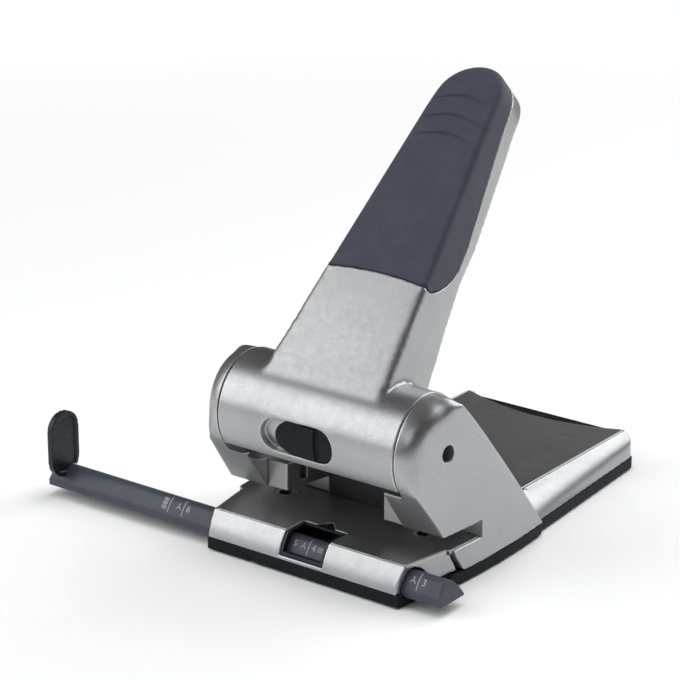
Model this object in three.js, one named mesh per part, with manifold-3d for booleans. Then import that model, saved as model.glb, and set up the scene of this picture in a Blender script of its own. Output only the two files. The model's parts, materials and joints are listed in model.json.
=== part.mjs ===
// Heavy-duty two-hole punch with a long lever, a sliding paper guide and a chip drawer.
// Millimetres. X runs along the barrel, +Y to the rear, +Z up.
// The origin lies on the surface the punch stands on, below the pivot and midway between the pins.
import * as THREE from 'three';
import { mergeVertices } from 'three/addons/utils/BufferGeometryUtils.js';
import Module from 'manifold-3d';

const wasm = await Module();
wasm.setup();

// Clearances, and the overrun of every cut
const seat = 0.3;
const slip = 0.5;
const overrun = 6;
const weld = 0.0001;
const finishWeld = 0.003;

// Filing standard and paper
const holeSpacing = 80;
const holeMargin = 12;
const guideSetting = 148.5;
const throatHeight = 8.5;
const throatDepth = 24.5;

// Base shell and deck plate
const sillHeight = 7.2;
const deckHeight = 19.1;
const plateThickness = 2;
const shellWall = 2.4;
const rimWidth = 0.8;
const ledgeWidth = 2.4;
const ledgeThickness = 2.4;
const frontHalfWidth = 54.7;
const flareHalfWidth = 59.4;
const creaseY = -22.3;
const apronFootY = -28.4;
const apronBulge = 0.9;
const shoulderY = 3.8;
const footSlant = 6;
const footGroove = 1.2;
const hipY = 79;
const hipHalfWidth = 59.9;
const rearY = 177.5;
const rearHalfWidth = 53.4;
const creaseHalfWidth = 47.6;
const bevelBulge = 2.2;
const cornerRadius = 5;
const recessHalfWidth = 44;
const recessDepth = 9.5;
const wingRim = 1.5;
const spineHalfWidth = 49.5;

// Barrel, pivot and cheeks
const axisHeight = 67.5;
const barrelRadius = 25.5;
const barrelHalfLength = 49.3;
const barrelWall = 3;
const lipAngle = 215.4;
const tailAngle = -6;
const tailRelief = 3.5;
const hubRadius = 9;
const shaftRadius = 3.7;
const shaftHalfLength = 55.4;
const bushRadius = 5.6;
const bushLength = 5.5;
const cheekInner = 49.9;
const cheekCrownX = 64;
const cheekCrownY = 42;
const cheekPlanRadius = 400;
const cheekEdge = 1.6;
const crownEdge = 9.5;
const beakAngle = 216;
const slopeAngle = 40.3;
const slopeFootY = 79.5;
const slopeBlend = 8;
const crownAngle = 80;
const slotDepth = 25.5;
const beakReach = 10.9;
const crownFrom = 66;
const crownTo = 214;
const crownBlend = 28;

// Lever arm, measured along and above a line through the pivot
const leverAngle = 44.6;
const armStep = 0.6;
const armRootHalf = 34.3;
const armTaper = 0.1;
const armLength = 181.5;
const armEdge = 2.2;
const armWall = 1.8;
const armFillet = 4;
const ribThickness = 2;
const ribDepth = 5;
const padThickness = 2;
const padBow = 4.4;
const grooveBow = 3.4;
const grooveWidth = 1.8;
const grooveDepth = 0.7;

// Outlines of the lever's side view, as shares of its length and of its top's height
const armUndersideShares = [
  [0.12, -0.38],
  [0.16, -0.28],
  [0.21, -0.18],
  [0.32, -0.06],
  [0.45, 0.02],
  [0.55, -0.04],
  [0.65, 0],
  [0.82, 0.08],
  [0.97, 0.22],
];
const padSeamShares = [
  [0.355, 0.92],
  [0.36, 0.72],
  [0.38, 0.53],
  [0.411, 0.33],
  [0.438, 0.22],
  [0.465, 0.153],
  [0.543, 0.153],
  [0.715, 0.305],
  [0.974, 0.542],
];
const padStartShare = 0.344;
const grooveStationShares = [0.767, 0.823, 0.879];
const grooveWidthShare = 0.74;
const ribStationShares = [0.3, 0.5, 0.7];
const armLevelShares = [-0.6, -0.3, 0, 0.3, 0.55, 0.75];

// Lock slider and its pocket in the barrel
const pocketLeft = -24.5;
const pocketRight = 16;
const pocketHeight = 16.7;
const pocketDrop = 2;
const pocketDepth = 3.5;
const pocketFloor = 2.2;
const pocketRim = 2.5;
const sliderLength = 32.7;
const sliderSink = 0.9;
const ridgeOffset = 10;
const ridgeWidth = 8.5;
const ridgeRise = 1.3;

// Punch heads
const pinRadius = 2.75;
const pinHeadRadius = 4.6;
const pinHeadHeight = 3;
const pinLift = 0.6;
const pinNotch = 1.2;
const camReach = 13.6;
const camLead = 22;
const camNose = 4.5;
const camHub = 7.3;
const camThickness = 5.5;
const camWebFrom = 25;
const camWebTo = 105;
const blockInner = 27.8;
const blockSplay = 4.8;
const blockFront = -1.7;
const blockRear = 30;
const blockTop = 41;
const guideRadius = 5.5;
const guideRise = 6;
const slitY = 6.7;
const slitWidth = 4;
const slitDepth = 3.4;
const slitRise = 3.2;
const slitHeight = 7.5;
const springWire = 0.45;
const springTurns = 7;
const springSteps = 8;
const springSides = 5;
const dieRadius = 5;
const dieHeight = 4;
const dieCollar = 1.2;

// Paper guide
const railLength = 234.3;
const railOverhang = 10.3;
const railBottom = 5.2;
const railHeight = 11;
const railFront = -24.6;
const railDepth = 18.6;
const railSlant = 2;
const flagWidth = 19;
const flagHeight = 33.2;
const flagThickness = 3;
const flagLead = 7;
const flagBase = 11.8;
const flagCorner = 8.8;
const flagDish = 0.8;
const flagRim = 2.2;

// Section of the guide rail, as shares of its depth and height
const railSectionShares = [
  [0, 0.3],
  [0.03, 0],
  [1, 0],
  [1, 0.09],
  [0.84, 0.48],
  [0.62, 0.85],
  [0.41, 1],
  [0.27, 0.95],
  [0.14, 0.7],
];

// Window in the apron, its frame and the rail's brake
const windowHalf = 12.4;
const windowRear = -8.4;
const windowSill = 1.5;
const notchHalf = 5.2;
const notchReach = 6;
const frameWall = 1.4;
const frameDepth = 2.3;
const brakeHalf = 20;
const brakeThickness = 0.6;
const brakeBow = 1.4;
const brakeHeight = 6;

// Tray, chip drawer, chutes, paper stop, back cover and fasteners
const standHeight = 0.8;
const trayWall = 2.2;
const trayCorner = 2.8;
const trayFloor = 1.6;
const trayNotch = 1.2;
const drawerHalfWidth = 35.2;
const drawerFront = -2;
const drawerWall = 1.5;
const drawerSide = 11.5;
const drawerHandle = 14.6;
const handleThickness = 3;
const mouthHeight = 5.5;
const chuteHeight = 11.8;
const chuteLip = 5.6;
const stripHalfLength = 36;
const stripWidth = 16;
const stripThickness = 1.4;
const rearStripY = 163;
const screwFrontX = 43;
const screwFrontY = 1.4;
const screwRearX = 39.8;
const screwRearY = 120;
const screwRadius = 1.4;
const screwHead = 2.8;
const screwHeadHeight = 1.3;
const screwLength = 10;
const screwSlot = 0.6;
const postRadius = 3.4;
const stopThickness = 1.6;
const stopHeight = 16;
const stopFlange = 5;
const coverThickness = 2;
const coverTop = 57;
const coverLean = 3;

// Facets on round stretches
const barrelSteps = 64;
const crownSteps = 20;
const holeSteps = 20;
const tipSteps = 16;
const bendSteps = 6;
const edgeSteps = 4;
const fieldSteps = 3;

// Places that follow from the sizes above
const throatTop = deckHeight + throatHeight;
const armTop = barrelRadius - armStep;
const pinX = holeSpacing / 2;
const pinY = throatDepth - holeMargin;
const guideTop = blockTop + guideRise;
const noseY = camReach * Math.cos(radians(camLead));
const noseZ = axisHeight + camReach * Math.sin(radians(camLead));
const camBottom = noseZ - camNose;
const pinTop = camBottom - seat;
const pinTip = throatTop + pinLift;
const plateBottom = deckHeight - plateThickness;
const barrelBore = barrelRadius - barrelWall;
const endWallInner = barrelHalfLength - barrelWall;
const throatFront = -barrelRadius - overrun;
const trayTop = sillHeight - slip;
const floorTop = standHeight + trayFloor;
const railLeft = -guideSetting - railOverhang;
const railRight = railLeft + railLength;

function radians(degrees) {
  return (degrees * Math.PI) / 180;
}

// Points on an arc, ends included
function arc(cx, cy, radius, from, to, steps) {
  const points = [];
  for (let i = 0; i <= steps; i += 1) {
    const angle = radians(from + ((to - from) * i) / steps);
    points.push([cx + radius * Math.cos(angle), cy + radius * Math.sin(angle)]);
  }
  return points;
}

function circle(cx, cy, radius) {
  return arc(cx, cy, radius, 0, 360, holeSteps).slice(1);
}

// Points on a shallow parabola from a to b that bulges to the left of the way
function bow(a, b, rise, steps) {
  const length = Math.hypot(b[0] - a[0], b[1] - a[1]);
  const normal = [-(b[1] - a[1]) / length, (b[0] - a[0]) / length];
  const points = [];
  for (let i = 0; i <= steps; i += 1) {
    const t = i / steps;
    const lift = 4 * rise * t * (1 - t);
    points.push([0, 1].map((k) => a[k] + (b[k] - a[k]) * t + normal[k] * lift));
  }
  return points;
}

// Points on the straight way from a to b, the last one left out
function straight(a, b, steps) {
  const points = [];
  for (let i = 0; i < steps; i += 1) {
    points.push([0, 1].map((k) => a[k] + ((b[k] - a[k]) * i) / steps));
  }
  return points;
}

// A counterclockwise outline drawn in by a distance, or by one for each point
function drawnIn(points, distances) {
  const count = points.length;
  const leftOf = (a, b) => {
    const length = Math.hypot(b[0] - a[0], b[1] - a[1]);
    return [-(b[1] - a[1]) / length, (b[0] - a[0]) / length];
  };
  return points.map((point, i) => {
    const n = leftOf(points[(i + count - 1) % count], point);
    const m = leftOf(point, points[(i + 1) % count]);
    const distance = Array.isArray(distances) ? distances[i] : distances;
    const scale = distance / (1 + n[0] * m[0] + n[1] * m[1]);
    return [0, 1].map((k) => point[k] + (n[k] + m[k]) * scale);
  });
}

function bothSides(right) {
  return [...right, ...right.map(([x, y]) => [-x, y]).reverse()];
}

function rectangle(x0, x1, y0, y1) {
  return [[x0, y0], [x1, y0], [x1, y1], [x0, y1]];
}

// Rectangle with round corners
function roundedRectangle(x0, x1, y0, y1, radius) {
  return [
    ...arc(x1 - radius, y0 + radius, radius, 270, 360, bendSteps),
    ...arc(x1 - radius, y1 - radius, radius, 0, 90, bendSteps),
    ...arc(x0 + radius, y1 - radius, radius, 90, 180, bendSteps),
    ...arc(x0 + radius, y0 + radius, radius, 180, 270, bendSteps),
  ];
}

function solidOf(geometry, tolerance = weld) {
  const bare = geometry.clone();
  bare.deleteAttribute('normal');
  bare.deleteAttribute('uv');
  const merged = mergeVertices(bare, tolerance);
  const index = merged.index.array;
  const faces = [];
  for (let i = 0; i < index.length; i += 3) {
    const [a, b, c] = [index[i], index[i + 1], index[i + 2]];
    if (a !== b && b !== c && c !== a) {
      faces.push(a, b, c);
    }
  }
  return new wasm.Manifold(
    new wasm.Mesh({
      numProp: 3,
      vertProperties: merged.attributes.position.array,
      triVerts: new Uint32Array(faces),
    }),
  );
}

function geometryOf(body) {
  const { vertProperties, triVerts } = body.getMesh();
  const geometry = new THREE.BufferGeometry();
  geometry.setAttribute('position', new THREE.BufferAttribute(vertProperties, 3));
  geometry.setIndex(new THREE.BufferAttribute(triVerts, 1));
  return geometry;
}

function extruded(points, depth) {
  const shape = new THREE.Shape(points.map(([a, b]) => new THREE.Vector2(a, b)));
  return new THREE.ExtrudeGeometry(shape, { depth, bevelEnabled: false, steps: 1 });
}

// Outline in (y, z), swept from x0 to x1
function alongX(points, x0, x1) {
  const geometry = extruded(points, x1 - x0);
  geometry.rotateX(Math.PI / 2);
  geometry.rotateZ(Math.PI / 2);
  geometry.translate(x0, 0, 0);
  return solidOf(geometry);
}

// Outline in (x, z), swept from y0 to y1
function alongY(points, y0, y1) {
  const geometry = extruded(points, y1 - y0);
  geometry.rotateX(Math.PI / 2);
  geometry.translate(0, y1, 0);
  return solidOf(geometry);
}

// Outline in (x, y), swept from z0 to z1
function alongZ(points, z0, z1) {
  const geometry = extruded(points, z1 - z0);
  geometry.translate(0, 0, z0);
  return solidOf(geometry);
}

function box(x0, x1, y0, y1, z0, z1) {
  return alongZ(rectangle(x0, x1, y0, y1), z0, z1);
}

// Profile of [radius, height] points turned about an upright axis
function turned(profile, x, y) {
  const points = profile.map(([radius, height]) => new THREE.Vector2(radius, height));
  const geometry = new THREE.LatheGeometry(points, holeSteps);
  geometry.rotateX(Math.PI / 2);
  geometry.translate(x, y, 0);
  return solidOf(geometry);
}

function rodZ(radius, x, y, z0, z1) {
  return turned([[0, z0], [radius, z0], [radius, z1], [0, z1]], x, y);
}

// Round bar on the pivot axis
function rodX(radius, x0, x1, steps = holeSteps, height = axisHeight) {
  const geometry = new THREE.CylinderGeometry(radius, radius, x1 - x0, steps);
  geometry.rotateZ(Math.PI / 2);
  geometry.translate((x0 + x1) / 2, 0, height);
  return solidOf(geometry);
}

// Triangles that fill a nearly flat ring, turning the same way as the ring
function filled(ring) {
  const spans = [0, 1, 2].map((k) => {
    const values = ring.map((point) => point[k]);
    return Math.max(...values) - Math.min(...values);
  });
  const [u, v] = [0, 1, 2].filter((k) => k !== spans.indexOf(Math.min(...spans)));
  const contour = ring.map((point) => new THREE.Vector2(point[u], point[v]));
  const turn = Math.sign(THREE.ShapeUtils.area(contour));
  return THREE.ShapeUtils.triangulateShape(contour, []).map((face) => {
    const faceTurn = Math.sign(THREE.ShapeUtils.area(face.map((i) => contour[i])));
    return faceTurn === turn ? face : [...face].reverse();
  });
}

// Triangles from a hub, the point after the ring's own, to each of the ring's sides
function fanned(ring) {
  return ring.map((point, i) => [ring.length, i, (i + 1) % ring.length]);
}

// Closed rings of equally many points, skinned one to the next and capped at both ends.
// Ends with points in line are fanned from their middle, which needs an outline without inlets.
function lofted(rings, cap = filled) {
  const count = rings[0].length;
  const faces = [];
  for (let r = 0; r + 1 < rings.length; r += 1) {
    for (let i = 0; i < count; i += 1) {
      const a = r * count + i;
      const b = r * count + ((i + 1) % count);
      faces.push(a, b, b + count, a, b + count, a + count);
    }
  }
  const positions = rings.flat();
  [rings[0], rings[rings.length - 1]].forEach((ring, end) => {
    const first = positions.length;
    const hub = [0, 1, 2].map((k) => ring.reduce((sum, point) => sum + point[k], 0) / count);
    positions.push(...ring, hub);
    cap(ring).forEach((face) => {
      const turnedFace = end === 0 ? [...face].reverse() : face;
      faces.push(...turnedFace.map((i) => i + first));
    });
  });
  const geometry = new THREE.BufferGeometry();
  geometry.setAttribute('position', new THREE.Float32BufferAttribute(positions.flat(), 3));
  geometry.setIndex(faces);
  return solidOf(geometry);
}

// Carries a body from the lever's own frame to its place at rest
function atLeverAngle(body) {
  const geometry = geometryOf(body);
  geometry.rotateX(radians(leverAngle));
  geometry.translate(0, 0, axisHeight);
  return solidOf(geometry);
}

function inLeverFrame(body) {
  const geometry = geometryOf(body);
  geometry.translate(0, 0, -axisHeight);
  geometry.rotateX(-radians(leverAngle));
  return solidOf(geometry);
}

function mirrored(body) {
  const { vertProperties, triVerts } = body.getMesh();
  const points = vertProperties.map((value, i) => (i % 3 === 0 ? -value : value));
  const faces = triVerts.map((value, i) => triVerts[i - (i % 3) + 2 - (i % 3)]);
  return new wasm.Manifold(new wasm.Mesh({ numProp: 3, vertProperties: points, triVerts: faces }));
}

const finishes = {
  silver: { color: 0xb4b6ba, metalness: 0.6, roughness: 0.38 },
  graphite: { color: 0x4a4b4f, metalness: 0.4, roughness: 0.4 },
  casting: { color: 0xa6a8a8, metalness: 0.5, roughness: 0.5 },
  black: { color: 0x2a2d33, metalness: 0, roughness: 0.5 },
  slate: { color: 0x3f444e, metalness: 0, roughness: 0.6 },
  gloss: { color: 0x23272f, metalness: 0, roughness: 0.25 },
  steel: { color: 0x9a9c9f, metalness: 1, roughness: 0.3 },
  rubber: { color: 0x1c1d1f, metalness: 0, roughness: 0.8 },
};

const punch = new THREE.Group();

function place(name, body, finish) {
  const geometry = geometryOf(solidOf(geometryOf(body), finishWeld));
  geometry.computeVertexNormals();
  const mesh = new THREE.Mesh(geometry, new THREE.MeshStandardMaterial(finishes[finish]));
  mesh.name = name;
  punch.add(mesh);
}

function placePair(name, body, finish) {
  place(`${name}_right`, body, finish);
  place(`${name}_left`, mirrored(body), finish);
}

// Half-width of the front body, which flares towards the cheeks
function frontHalfAt(y) {
  const share = (y - creaseY) / (shoulderY - creaseY);
  return frontHalfWidth + (flareHalfWidth - frontHalfWidth) * share;
}

// Rear end of the front body, which leans back towards its foot
function footFrontAt(z) {
  return shoulderY + (footSlant * (deckHeight - z)) / (deckHeight - sillHeight);
}

function rearHalfAt(y) {
  return hipHalfWidth + ((rearHalfWidth - hipHalfWidth) * (y - hipY)) / (rearY - hipY);
}

// Front body with its sloping, slightly bulged apron, drawn in by a wall and open to below the sill
function frontBody(inset) {
  const top = deckHeight - Math.min(inset, plateThickness - slip);
  const bottom = sillHeight - overrun;
  const section = [
    ...bow([creaseY + inset, top], [apronFootY + inset, sillHeight], -apronBulge, bendSteps),
    [apronFootY + inset, bottom],
    [footFrontAt(bottom) - inset, bottom],
    [footFrontAt(top) - inset, top],
  ];
  const front = apronFootY - overrun;
  const rear = footFrontAt(bottom);
  const plan = bothSides([
    [frontHalfAt(front) - inset, front],
    [frontHalfAt(rear) - inset, rear],
  ]);
  const side = alongX(section, -hipHalfWidth - overrun, hipHalfWidth + overrun);
  return side.intersect(alongZ(plan, bottom, deckHeight + overrun));
}

// Region in front of a cheek's sloping rear edge, grown by a clearance
function ahead(clearance) {
  const n = [Math.cos(radians(slopeAngle)), Math.sin(radians(slopeAngle))];
  const foot = [slopeFootY + clearance * n[0], sillHeight + clearance * n[1]];
  const reach = axisHeight / n[0];
  const low = [foot[0] + n[1] * overrun, foot[1] - n[0] * overrun];
  const high = [foot[0] - n[1] * reach, foot[1] + n[0] * reach];
  return alongX([low, high, [shoulderY, high[1]], [shoulderY, low[1]]], -2 * hipHalfWidth, 2 * hipHalfWidth);
}

// Rear body with bulged bevels along its sides and round rear corners
function rearBody(inset) {
  const top = deckHeight - Math.min(inset, plateThickness - slip);
  const bottom = sillHeight - overrun;
  const sectionAt = (y) => {
    const half = rearHalfAt(y);
    const side = bow([half - inset, sillHeight], [creaseHalfWidth, top], -bevelBulge, bendSteps);
    return bothSides([[half - inset, bottom], ...side]).map(([x, z]) => [x, y, z]);
  };
  const blank = lofted([sectionAt(rearY + overrun), sectionAt(cheekCrownY)]);
  const radius = cornerRadius - inset;
  const cx = rearHalfAt(rearY) - cornerRadius;
  const cy = rearY - cornerRadius;
  const wide = 2 * hipHalfWidth;
  const plan = bothSides([[wide, cheekCrownY], [wide, cy], ...arc(cx, cy, radius, 0, 90, bendSteps)]);
  return blank.intersect(alongZ(plan, bottom, deckHeight + overrun)).subtract(ahead(inset + seat));
}

function baseBlank(inset) {
  const half = spineHalfWidth - inset;
  const bottom = sillHeight - overrun;
  const top = deckHeight - Math.min(inset, plateThickness - slip);
  const spine = box(-half, half, shoulderY - 2 * shellWall, hipY + 2 * shellWall, bottom, top);
  return frontBody(inset).add(spine).add(rearBody(inset));
}

// Plan of the deck plate, which fills the top between the creases
function platePlan(inset) {
  const gap = rimWidth + inset;
  const spine = spineHalfWidth - seat - inset;
  const hip = hipY + creaseHalfWidth - hipHalfWidth + rimWidth;
  const crease = creaseHalfWidth - gap;
  const wingFront = shoulderY + inset;
  const wingRear = slotDepth - slip - inset;
  const wingAt = (y) => cheekFaceAt(y) - wingRim - inset;
  return bothSides([
    [frontHalfAt(creaseY) - gap, creaseY + gap],
    [frontHalfAt(wingFront) - gap, wingFront],
    [wingAt(wingFront), wingFront],
    [wingAt(wingRear), wingRear],
    [spine, wingRear],
    [spine, hip],
    [crease, hip],
    [crease, rearY - gap],
  ]);
}

function recessPlan(gap) {
  const radius = (recessHalfWidth ** 2 + recessDepth ** 2) / (2 * recessDepth);
  const half = (Math.asin(recessHalfWidth / radius) * 180) / Math.PI;
  const centre = rearY + radius - recessDepth;
  const rim = arc(0, centre, radius + gap, 270 - half, 270 + half, crownSteps);
  return [...rim, [recessHalfWidth, rearY + overrun], [-recessHalfWidth, rearY + overrun]];
}

function windowPlan(inset) {
  const half = windowHalf - inset;
  const rear = windowRear - inset;
  return [
    [-half, apronFootY - overrun],
    [half, apronFootY - overrun],
    [half, rear],
    [notchHalf - inset, rear],
    [0, rear + notchReach],
    [inset - notchHalf, rear],
    [-half, rear],
  ];
}

function railSection(inset) {
  const section = railSectionShares.map(([depth, height]) => [
    railFront + depth * railDepth,
    railBottom + height * railHeight,
  ]);
  return drawnIn(section, inset);
}

// Places of the four base screws
function screwPlaces() {
  return [[screwFrontX, screwFrontY], [screwRearX, screwRearY]].flatMap(([x, y]) => [[x, y], [-x, y]]);
}

function baseShell() {
  const wide = 2 * hipHalfWidth;
  const front = apronFootY - overrun;
  const rear = rearY + overrun;
  const ledgeZ = plateBottom - seat - ledgeThickness;
  const fullLedge = alongZ(drawnIn(platePlan(0), -shellWall), ledgeZ, plateBottom - seat)
    .subtract(alongZ(platePlan(ledgeWidth), ledgeZ - overrun, deckHeight))
    .intersect(baseBlank(shellWall / 2))
    .subtract(box(-wide, wide, front, shoulderY, ledgeZ - overrun, deckHeight));
  const ledge = screwPlaces().reduce(
    (body, [x, y]) => body.subtract(rodZ(postRadius + seat, x, y, ledgeZ - overrun, deckHeight)),
    fullLedge,
  );
  const mouth = drawerHalfWidth + 2 * slip;
  return baseBlank(0)
    .subtract(baseBlank(shellWall))
    .add(ledge)
    .subtract(box(-wide, wide, front, rear, sillHeight - 2 * overrun, sillHeight))
    .subtract(alongZ(drawnIn(platePlan(0), -seat), plateBottom - seat, deckHeight + overrun))
    .subtract(box(-mouth, mouth, hipY + overrun, rear, sillHeight - overrun, plateBottom - seat))
    .subtract(alongZ(recessPlan(0), sillHeight - overrun, deckHeight + overrun))
    .subtract(alongZ(windowPlan(0), sillHeight + windowSill, deckHeight + overrun))
    .subtract(alongX(railSection(-2 * slip), -wide, wide));
}

function deckPlate() {
  const bottom = plateBottom - overrun;
  const top = deckHeight + overrun;
  const postBottom = sillHeight - shellWall;
  let plate = alongZ(platePlan(0), plateBottom, deckHeight)
    .subtract(alongZ(recessPlan(rimWidth), bottom, top))
    .subtract(alongZ(windowPlan(0), bottom, top));
  screwPlaces().forEach(([x, y]) => {
    const post = rodZ(postRadius, x, y, postBottom, plateBottom + plateThickness / 2);
    plate = plate.add(post).subtract(rodZ(screwRadius + seat, x, y, postBottom - overrun, plateBottom));
  });
  [-pinX, pinX].forEach((x) => {
    plate = plate.subtract(rodZ(dieRadius + seat, x, pinY, bottom, top));
  });
  return plate;
}

// Outer face of a cheek, a shallow arc in plan
function cheekFaceAt(y) {
  return cheekCrownX - (y - cheekCrownY) ** 2 / (2 * cheekPlanRadius);
}

function trayPlan(inset) {
  const cx = rearHalfAt(rearY) - trayCorner;
  const cy = rearY - trayCorner - seat;
  const underCheek = straight([0, shoulderY + inset], [0, hipY - inset], bendSteps);
  return bothSides([
    [frontHalfAt(creaseY) - inset, apronFootY + inset + seat],
    [frontHalfAt(shoulderY) - inset, shoulderY + inset],
    ...[...underCheek, [0, hipY - inset]].map(([, y]) => [cheekFaceAt(y) - slip - inset, y]),
    [rearHalfAt(hipY) - inset, hipY - inset],
    ...arc(cx, cy, trayCorner - inset, 0, 90, bendSteps),
  ]);
}

function stripPlan(y, grow) {
  const half = stripWidth / 2 + grow;
  const reach = stripHalfLength + grow;
  return roundedRectangle(-reach, reach, y - half, y + half, half);
}

function baseTray() {
  const wide = 2 * hipHalfWidth;
  const below = standHeight - overrun;
  const mouth = drawerHalfWidth + 2 * slip;
  const railRear = railFront + railDepth;
  let tray = alongZ(trayPlan(0), standHeight, trayTop)
    .subtract(alongZ(trayPlan(trayWall), floorTop, trayTop + overrun))
    .subtract(box(-mouth, mouth, rearY - trayWall - overrun, rearY + overrun, floorTop, trayTop + overrun))
    .subtract(box(-wide, wide, railFront - slip, railRear + slip, railBottom - seat, trayTop + overrun));
  [-1, 1].forEach((side) => {
    const inner = Math.min(side * (brakeHalf - trayWall), side * brakeHalf);
    const cradle = box(inner, inner + trayWall, railFront, railRear, floorTop - trayFloor / 2, railBottom - seat);
    const postFront = railRear + brakeBow + brakeThickness + 2 * seat;
    const post = box(inner, inner + trayWall, postFront, drawerFront - seat,
      floorTop - trayFloor / 2, railBottom + brakeHeight);
    tray = tray.add(cradle).add(post);
  });
  screwPlaces().forEach(([x, y]) => {
    const pad = rodZ(postRadius + slip, x, y, standHeight, floorTop + trayFloor);
    const bore = rodZ(screwRadius + seat, x, y, below, trayTop + overrun);
    const recess = rodZ(screwHead + seat, x, y, below, standHeight + seat + screwHeadHeight + seat);
    tray = tray.add(pad).subtract(bore).subtract(recess);
  });
  [0, rearStripY].forEach((y) => {
    tray = tray.subtract(alongZ(stripPlan(y, seat), below, stripThickness + seat));
  });
  const notchX = -frontHalfWidth / 2;
  return tray.subtract(box(notchX - trayWall, notchX, apronFootY - overrun, apronFootY + trayNotch, below, floorTop));
}

// Side outline of a cheek: slope, crown, round front, beak and foot
function cheekOutline() {
  const n = [Math.cos(radians(slopeAngle)), Math.sin(radians(slopeAngle))];
  const m = [Math.cos(radians(crownAngle)), Math.sin(radians(crownAngle))];
  const slopeReach = slopeFootY * n[0] + (sillHeight - axisHeight) * n[1];
  const det = n[0] * m[1] - n[1] * m[0];
  const corner = [
    (slopeReach * m[1] - barrelRadius * n[1]) / det,
    axisHeight + (barrelRadius * n[0] - slopeReach * m[0]) / det,
  ];
  const slopeTop = [
    slopeReach * n[0] + slopeBlend * n[1],
    axisHeight + slopeReach * n[1] - slopeBlend * n[0],
  ];
  const slopeFoot = [slopeFootY + (overrun * n[1]) / n[0], sillHeight - overrun];
  const crown = arc(0, axisHeight, barrelRadius, crownAngle, beakAngle, crownSteps);
  const tangent = crown[crown.length - 1];
  const fall = tangent[1] - slopeFoot[1];
  const beak = [tangent[0] + fall * Math.tan(radians(beakAngle - 180)), slopeFoot[1]];
  const blend = new THREE.QuadraticBezierCurve(
    new THREE.Vector2(...slopeTop),
    new THREE.Vector2(...corner),
    new THREE.Vector2(...crown[0]),
  );
  return [
    ...straight(slopeFoot, slopeTop, bendSteps),
    ...blend.getPoints(bendSteps).slice(0, -1).map(({ x, y }) => [x, y]),
    ...crown.slice(0, -1),
    ...straight(tangent, beak, bendSteps),
    ...straight(beak, slopeFoot, bendSteps),
  ];
}

// Share of the crown's wide rounding at a point of the cheek's outline
function crownShareAt([y, z]) {
  const angle = (Math.atan2(z - axisHeight, y) * 180) / Math.PI;
  const turn = angle < 0 ? angle + 360 : angle;
  const rise = (turn - crownFrom) / crownBlend;
  const fall = (crownTo - turn) / crownBlend;
  return Math.min(1, Math.max(0, Math.min(rise, fall)));
}

// Cheek as a pebble: flat inside, widely rounded round its crown, gently crowned outer face
function cheek() {
  const outline = cheekOutline();
  const centre = [cheekCrownY / 2, cheekCrownY];
  const shares = outline.map(crownShareAt);
  const drops = shares.map((share) => cheekEdge + (crownEdge - cheekEdge) * share);
  const rim = drawnIn(outline, drops).map(([y, z]) => [cheekFaceAt(y), y, z]);
  const depths = rim.map(([x], i) => cheekEdge + (x - cheekInner - slip - cheekEdge) * shares[i]);
  const rings = [outline.map(([y, z]) => [cheekInner, y, z])];
  for (let i = 0; i <= edgeSteps; i += 1) {
    const angle = (Math.PI / 2) * (i / edgeSteps);
    const inset = drops.map((drop) => drop * (1 - Math.cos(angle)));
    rings.push(drawnIn(outline, inset).map(([y, z], j) => [
      rim[j][0] - depths[j] * (1 - Math.sin(angle)), y, z]));
  }
  for (let i = 1; i < fieldSteps; i += 1) {
    const share = i / fieldSteps;
    rings.push(rim.map(([, y, z]) => {
      const inward = y + (centre[0] - y) * share;
      return [cheekFaceAt(inward), inward, z + (centre[1] - z) * share];
    }));
  }
  const near = cheekInner - overrun;
  const far = cheekCrownX + overrun;
  const start = throatFront;
  const wedge = alongX(outline, cheekInner - beakReach, cheekInner + slip / 2)
    .intersect(box(near - beakReach, far, start, blockFront - seat, throatTop, axisHeight))
    .subtract(rodX(barrelRadius + slip, cheekInner - beakReach - overrun, cheekInner, barrelSteps));
  const footFront = [sillHeight - overrun, deckHeight + overrun].map((z) => [footFrontAt(z) + footGroove, z]);
  return lofted(rings, fanned)
    .add(wedge)
    .subtract(box(near, far, start, slopeFootY + 2 * overrun, sillHeight - 2 * overrun, sillHeight))
    .subtract(box(near, far, start, slotDepth, deckHeight, throatTop))
    .subtract(alongZ(drawnIn(platePlan(0), -seat), plateBottom - seat, throatTop))
    .subtract(alongX([[start, footFront[0][1]], ...footFront, [start, footFront[1][1]]], near, far)
      .intersect(box(near, far, start, slotDepth, sillHeight - overrun, deckHeight)))
    .subtract(rodX(shaftRadius + seat, near, far))
    .subtract(rodX(bushRadius + seat, near, cheekInner + bushLength + 2 * seat));
}

function guideBlock() {
  const side = [
    [blockFront, throatTop],
    [throatDepth, throatTop],
    [throatDepth, deckHeight + seat],
    [blockRear, deckHeight + seat],
    [blockRear, blockTop],
    [blockFront, blockTop],
  ];
  const slitZ = throatTop + slitRise;
  const plan = [
    [blockInner, blockFront],
    [cheekInner - seat, blockFront],
    [cheekInner - seat, blockRear],
    [blockInner - blockSplay, blockRear],
    [blockInner - blockSplay, throatDepth],
  ];
  return alongX(side, blockInner - blockSplay, cheekInner - seat)
    .intersect(alongZ(plan, deckHeight, blockTop))
    .add(rodZ(guideRadius, pinX, pinY, blockTop - guideRise, guideTop))
    .subtract(rodZ(pinRadius + seat, pinX, pinY, throatTop - overrun, guideTop + overrun))
    .subtract(box(blockInner - blockSplay, blockInner + slitDepth, slitY, slitY + slitWidth, slitZ, slitZ + slitHeight));
}

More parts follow.
